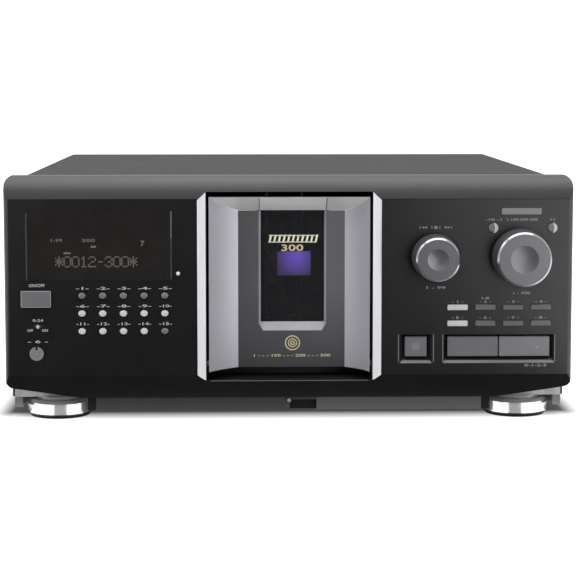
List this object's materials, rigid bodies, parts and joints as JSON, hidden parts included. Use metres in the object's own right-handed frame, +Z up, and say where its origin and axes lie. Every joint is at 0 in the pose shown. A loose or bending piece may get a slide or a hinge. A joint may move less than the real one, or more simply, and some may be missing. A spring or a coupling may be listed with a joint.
{
  "type": "cd mega changer",
  "caption": "Wide black changer for hundreds of compact discs, with a concave fold-down door, two turned knobs, push keys, a display and a round disc table inside.",
  "frame": {"origin": "on the floor, in the middle of the whole object's box", "axes": "+X to the right seen from the front, +Y to the back, +Z up"},
  "size_m": [0.43, 0.484, 0.1875],
  "materials": {
    "black_front": "satin black moulding",
    "painted_cover": "fine textured dark grey paint",
    "painted_back": "satin black paint",
    "galvanised_steel": "zinc plated sheet",
    "black_moulding": "black moulding",
    "grey_moulding": "dark grey moulding",
    "bright_trim": "bright brushed trim",
    "silver_door": "metallic silver paint",
    "smoked_window": "smoked",
    "display_glass": "smoked",
    "display_tube_glass": "clear over a dark tube",
    "plated_foot": "bright plated and turned",
    "rubber": "matt",
    "white_gear": "natural acetal",
    "motor_can": "drawn steel",
    "cast_metal": "die cast",
    "knob_metal": "turned and anodised",
    "shaft_steel": "turned",
    "board": "phenolic board",
    "transformer_iron": "varnished laminations",
    "screw_steel": "zinc plated",
    "key_light": "silver painted",
    "key_dark": "dark grey",
    "key_grey": "grey painted"
  },
  "bodies": {
    "cabinet": {"front_panel": "black_front", "top_cover": "painted_cover", "base_pan": "galvanised_steel", "back_panel": "painted_back", "door_frame": "black_moulding", "door_rails": "bright_trim", "display_window": "display_glass", "display_tube": "display_tube_glass", "keyboard_socket": "black_moulding", "front_feet": "plated_foot", "rubber_feet": "rubber", "mechanism_base": "black_moulding", "motors": "motor_can", "deck_frame": "galvanised_steel", "circuit_boards": "board", "transformer": "transformer_iron", "rear_jacks": "black_moulding", "screws": "screw_steel"},
    "door": {"door_panel": "silver_door", "door_window": "smoked_window"},
    "table": {"carousel": "grey_moulding"},
    "pinion": {"table_pinion": "white_gear"},
    "spindle": {"disc_spindle": "grey_moulding"},
    "sled": {"pickup_sled": "cast_metal"},
    "clamp": {"clamp_arm": "grey_moulding"},
    "lever": {"lift_lever": "grey_moulding"},
    "timer": {"timer_slider": "key_grey"},
    "track_shaft_body": {"track_shaft": "shaft_steel"},
    "track_knob_body": {"track_knob": "knob_metal"},
    "disc_shaft_body": {"disc_shaft": "shaft_steel"},
    "disc_knob_body": {"disc_knob": "knob_metal"},
    "round_key_01_body": {"round_key_01": "key_dark"},
    "round_key_02_body": {"round_key_02": "key_dark"},
    "round_key_03_body": {"round_key_03": "key_dark"},
    "round_key_04_body": {"round_key_04": "key_dark"},
    "round_key_05_body": {"round_key_05": "key_dark"},
    "round_key_06_body": {"round_key_06": "key_light"},
    "round_key_07_body": {"round_key_07": "key_light"},
    "round_key_08_body": {"round_key_08": "key_light"},
    "round_key_09_body": {"round_key_09": "key_light"},
    "round_key_10_body": {"round_key_10": "key_light"},
    "round_key_11_body": {"round_key_11": "key_light"},
    "round_key_12_body": {"round_key_12": "key_light"},
    "round_key_13_body": {"round_key_13": "key_light"},
    "round_key_14_body": {"round_key_14": "key_light"},
    "round_key_15_body": {"round_key_15": "key_dark"},
    "bar_key_1_body": {"bar_key_1": "key_grey"},
    "bar_key_2_body": {"bar_key_2": "key_grey"},
    "bar_key_3_body": {"bar_key_3": "key_grey"},
    "bar_key_4_body": {"bar_key_4": "key_grey"},
    "bar_key_5_body": {"bar_key_5": "key_grey"},
    "bar_key_6_body": {"bar_key_6": "key_grey"},
    "bar_key_7_body": {"bar_key_7": "key_grey"},
    "bar_key_8_body": {"bar_key_8": "key_grey"},
    "skip_key_left_body": {"skip_key_left": "key_light"},
    "skip_key_right_body": {"skip_key_right": "key_light"},
    "power_key_body": {"power_key": "key_grey"},
    "stop_key_body": {"stop_key": "key_grey"},
    "play_key_body": {"play_key": "key_grey"},
    "pause_key_body": {"pause_key": "key_grey"}
  },
  "joints": [
    {"name": "door_hinge", "type": "hinge", "parent": "cabinet", "child": "door", "pos_m": [0, -0.208, 0.0445], "axis": [1, 0, 0], "range_deg": [0, 88]},
    {"name": "table_turn", "type": "hinge", "parent": "cabinet", "child": "table", "pos_m": [0, 0.02, 0.024], "axis": [0, 0, 1], "continuous": true},
    {"name": "pinion_turn", "type": "hinge", "parent": "cabinet", "child": "pinion", "pos_m": [-0.14867, 0.16867, 0.024], "axis": [0, 0, 1], "continuous": true},
    {"name": "spindle_turn", "type": "hinge", "parent": "cabinet", "child": "spindle", "pos_m": [0, 0.02, 0.1], "axis": [1, 0, 0], "continuous": true},
    {"name": "sled_slide", "type": "slide", "parent": "cabinet", "child": "sled", "axis": [0, -1, 0], "range_m": [0, 0.03]},
    {"name": "clamp_swing", "type": "hinge", "parent": "cabinet", "child": "clamp", "pos_m": [0.01, 0.076, 0.1], "axis": [0, 0, 1], "range_deg": [0, 2]},
    {"name": "lever_swing", "type": "hinge", "parent": "cabinet", "child": "lever", "pos_m": [0, -0.014, 0.034], "axis": [1, 0, 0], "range_deg": [-30, 0]},
    {"name": "timer_slide", "type": "slide", "parent": "cabinet", "child": "timer", "axis": [1, 0, 0], "range_m": [-0.0025, 0.0025]},
    {"name": "track_push", "type": "slide", "parent": "cabinet", "child": "track_shaft_body", "axis": [0, 1, 0], "range_m": [0, 0.001], "stiffness_N_per_m": 1500},
    {"name": "track_turn", "type": "hinge", "parent": "track_shaft_body", "child": "track_knob_body", "pos_m": [0.1099, -0.242, 0.1268], "axis": [0, 1, 0], "continuous": true},
    {"name": "disc_push", "type": "slide", "parent": "cabinet", "child": "disc_shaft_body", "axis": [0, 1, 0], "range_m": [0, 0.001], "stiffness_N_per_m": 1500},
    {"name": "disc_turn", "type": "hinge", "parent": "disc_shaft_body", "child": "disc_knob_body", "pos_m": [0.1744, -0.242, 0.1268], "axis": [0, 1, 0], "continuous": true},
    {"name": "round_key_01_press", "type": "slide", "parent": "cabinet", "child": "round_key_01_body", "axis": [0, 1, 0], "range_m": [0, 0.001], "stiffness_N_per_m": 800},
    {"name": "round_key_02_press", "type": "slide", "parent": "cabinet", "child": "round_key_02_body", "axis": [0, 1, 0], "range_m": [0, 0.001], "stiffness_N_per_m": 800},
    {"name": "round_key_03_press", "type": "slide", "parent": "cabinet", "child": "round_key_03_body", "axis": [0, 1, 0], "range_m": [0, 0.001], "stiffness_N_per_m": 800},
    {"name": "round_key_04_press", "type": "slide", "parent": "cabinet", "child": "round_key_04_body", "axis": [0, 1, 0], "range_m": [0, 0.001], "stiffness_N_per_m": 800},
    {"name": "round_key_05_press", "type": "slide", "parent": "cabinet", "child": "round_key_05_body", "axis": [0, 1, 0], "range_m": [0, 0.001], "stiffness_N_per_m": 800},
    {"name": "round_key_06_press", "type": "slide", "parent": "cabinet", "child": "round_key_06_body", "axis": [0, 1, 0], "range_m": [0, 0.001], "stiffness_N_per_m": 800},
    {"name": "round_key_07_press", "type": "slide", "parent": "cabinet", "child": "round_key_07_body", "axis": [0, 1, 0], "range_m": [0, 0.001], "stiffness_N_per_m": 800},
    {"name": "round_key_08_press", "type": "slide", "parent": "cabinet", "child": "round_key_08_body", "axis": [0, 1, 0], "range_m": [0, 0.001], "stiffness_N_per_m": 800},
    {"name": "round_key_09_press", "type": "slide", "parent": "cabinet", "child": "round_key_09_body", "axis": [0, 1, 0], "range_m": [0, 0.001], "stiffness_N_per_m": 800},
    {"name": "round_key_10_press", "type": "slide", "parent": "cabinet", "child": "round_key_10_body", "axis": [0, 1, 0], "range_m": [0, 0.001], "stiffness_N_per_m": 800},
    {"name": "round_key_11_press", "type": "slide", "parent": "cabinet", "child": "round_key_11_body", "axis": [0, 1, 0], "range_m": [0, 0.001], "stiffness_N_per_m": 800},
    {"name": "round_key_12_press", "type": "slide", "parent": "cabinet", "child": "round_key_12_body", "axis": [0, 1, 0], "range_m": [0, 0.001], "stiffness_N_per_m": 800},
    {"name": "round_key_13_press", "type": "slide", "parent": "cabinet", "child": "round_key_13_body", "axis": [0, 1, 0], "range_m": [0, 0.001], "stiffness_N_per_m": 800},
    {"name": "round_key_14_press", "type": "slide", "parent": "cabinet", "child": "round_key_14_body", "axis": [0, 1, 0], "range_m": [0, 0.001], "stiffness_N_per_m": 800},
    {"name": "round_key_15_press", "type": "slide", "parent": "cabinet", "child": "round_key_15_body", "axis": [0, 1, 0], "range_m": [0, 0.001], "stiffness_N_per_m": 800},
    {"name": "bar_key_1_press", "type": "slide", "parent": "cabinet", "child": "bar_key_1_body", "axis": [0, 1, 0], "range_m": [0, 0.001], "stiffness_N_per_m": 800},
    {"name": "bar_key_2_press", "type": "slide", "parent": "cabinet", "child": "bar_key_2_body", "axis": [0, 1, 0], "range_m": [0, 0.001], "stiffness_N_per_m": 800},
    {"name": "bar_key_3_press", "type": "slide", "parent": "cabinet", "child": "bar_key_3_body", "axis": [0, 1, 0], "range_m": [0, 0.001], "stiffness_N_per_m": 800},
    {"name": "bar_key_4_press", "type": "slide", "parent": "cabinet", "child": "bar_key_4_body", "axis": [0, 1, 0], "range_m": [0, 0.001], "stiffness_N_per_m": 800},
    {"name": "bar_key_5_press", "type": "slide", "parent": "cabinet", "child": "bar_key_5_body", "axis": [0, 1, 0], "range_m": [0, 0.001], "stiffness_N_per_m": 800},
    {"name": "bar_key_6_press", "type": "slide", "parent": "cabinet", "child": "bar_key_6_body", "axis": [0, 1, 0], "range_m": [0, 0.001], "stiffness_N_per_m": 800},
    {"name": "bar_key_7_press", "type": "slide", "parent": "cabinet", "child": "bar_key_7_body", "axis": [0, 1, 0], "range_m": [0, 0.001], "stiffness_N_per_m": 800},
    {"name": "bar_key_8_press", "type": "slide", "parent": "cabinet", "child": "bar_key_8_body", "axis": [0, 1, 0], "range_m": [0, 0.001], "stiffness_N_per_m": 800},
    {"name": "skip_key_left_press", "type": "slide", "parent": "cabinet", "child": "skip_key_left_body", "axis": [0, 1, 0], "range_m": [0, 0.001], "stiffness_N_per_m": 800},
    {"name": "skip_key_right_press", "type": "slide", "parent": "cabinet", "child": "skip_key_right_body", "axis": [0, 1, 0], "range_m": [0, 0.001], "stiffness_N_per_m": 800},
    {"name": "power_key_press", "type": "slide", "parent": "cabinet", "child": "power_key_body", "axis": [0, 1, 0], "range_m": [0, 0.001], "stiffness_N_per_m": 800},
    {"name": "stop_key_press", "type": "slide", "parent": "cabinet", "child": "stop_key_body", "axis": [0, 1, 0], "range_m": [0, 0.001], "stiffness_N_per_m": 800},
    {"name": "play_key_press", "type": "slide", "parent": "cabinet", "child": "play_key_body", "axis": [0, 1, 0], "range_m": [0, 0.001], "stiffness_N_per_m": 800},
    {"name": "pause_key_press", "type": "slide", "parent": "cabinet", "child": "pause_key_body", "axis": [0, 1, 0], "range_m": [0, 0.001], "stiffness_N_per_m": 800}
  ],
  "couplings": [
    {"joint": "pinion_turn", "follows": "table_turn", "ratio": -12.125}
  ]
}
